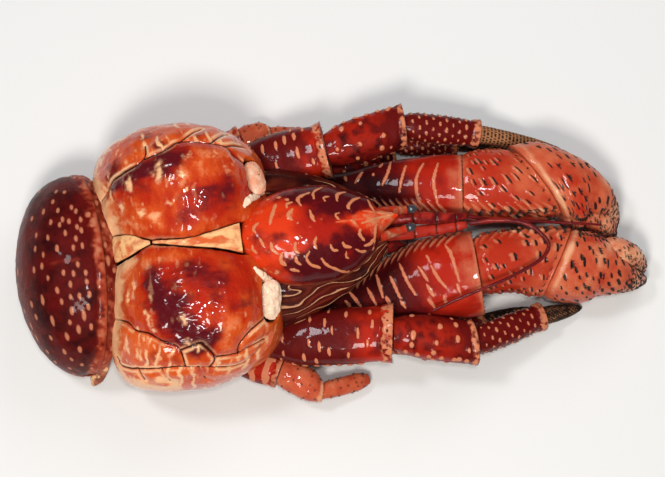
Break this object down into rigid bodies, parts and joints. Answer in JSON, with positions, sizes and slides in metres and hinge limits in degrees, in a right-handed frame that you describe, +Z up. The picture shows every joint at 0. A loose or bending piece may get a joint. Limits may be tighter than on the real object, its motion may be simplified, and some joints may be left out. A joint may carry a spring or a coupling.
{
  "type": "coconut crab model",
  "caption": "Life-size still model of a coconut crab lying on its breast, with swollen gill covers, a folded abdomen, forward claws and folded legs.",
  "frame": {"origin": "on the floor under the groove between the head shield and the gill covers, on the midline: the flat underside of the breast", "axes": "+X towards the head, +Y to the animal's left, +Z up"},
  "size_m": [0.2692, 0.1244, 0.064],
  "materials": {
    "carapace": "glossy",
    "shield": "glossy",
    "plate": "satin",
    "abdomen": "glossy",
    "belly": "satin",
    "flank": "glossy",
    "leg": "glossy",
    "claw": "glossy",
    "toe": "satin",
    "eye": "glossy",
    "feeler": "glossy"
  },
  "bodies": {
    "root": {"abdomen_core": "belly", "abdomen_tab_left": "abdomen", "abdomen_tab_right": "abdomen", "breast": "belly", "claw_left_carpus": "claw", "claw_left_finger": "claw", "claw_left_hand": "claw", "claw_left_merus": "leg", "claw_right_carpus": "claw", "claw_right_finger": "claw", "claw_right_hand": "claw", "claw_right_merus": "leg", "corner_plate_left": "plate", "corner_plate_right": "plate", "eye_left": "eye", "eye_right": "eye", "eyestalk_left": "plate", "eyestalk_right": "plate", "feeler_left": "feeler", "feeler_right_1": "feeler", "feeler_right_2": "feeler", "feeler_right_3": "feeler", "feeler_stem_left": "plate", "feeler_stem_right": "plate", "flank_left": "flank", "flank_right": "flank", "gill_cover_left": "carapace", "gill_cover_right": "carapace", "head_shield": "shield", "heart_plate": "plate", "hind_plate": "plate", "leg_2_left_carpus": "leg", "leg_2_left_merus": "leg", "leg_2_left_propodus": "leg", "leg_2_left_toe": "toe", "leg_2_right_carpus": "leg", "leg_2_right_merus": "leg", "leg_2_right_propodus": "leg", "leg_2_right_toe": "toe", "leg_3_left_carpus": "leg", "leg_3_left_merus": "leg", "leg_3_left_propodus": "leg", "leg_3_left_toe": "toe", "leg_3_right_carpus": "leg", "leg_3_right_merus": "leg", "leg_3_right_propodus": "leg", "leg_3_right_toe": "toe", "leg_4_left_carpus": "claw", "leg_4_left_merus": "leg", "leg_4_left_pincer": "claw", "leg_4_right_carpus": "claw", "leg_4_right_merus": "leg", "leg_4_right_pincer": "claw", "mouthpart_left": "plate", "mouthpart_right": "plate", "tail_fan": "belly", "tergite_1": "abdomen", "tergite_2": "abdomen", "tergite_3": "abdomen", "tergite_4": "abdomen"}
  },
  "joints": []
}
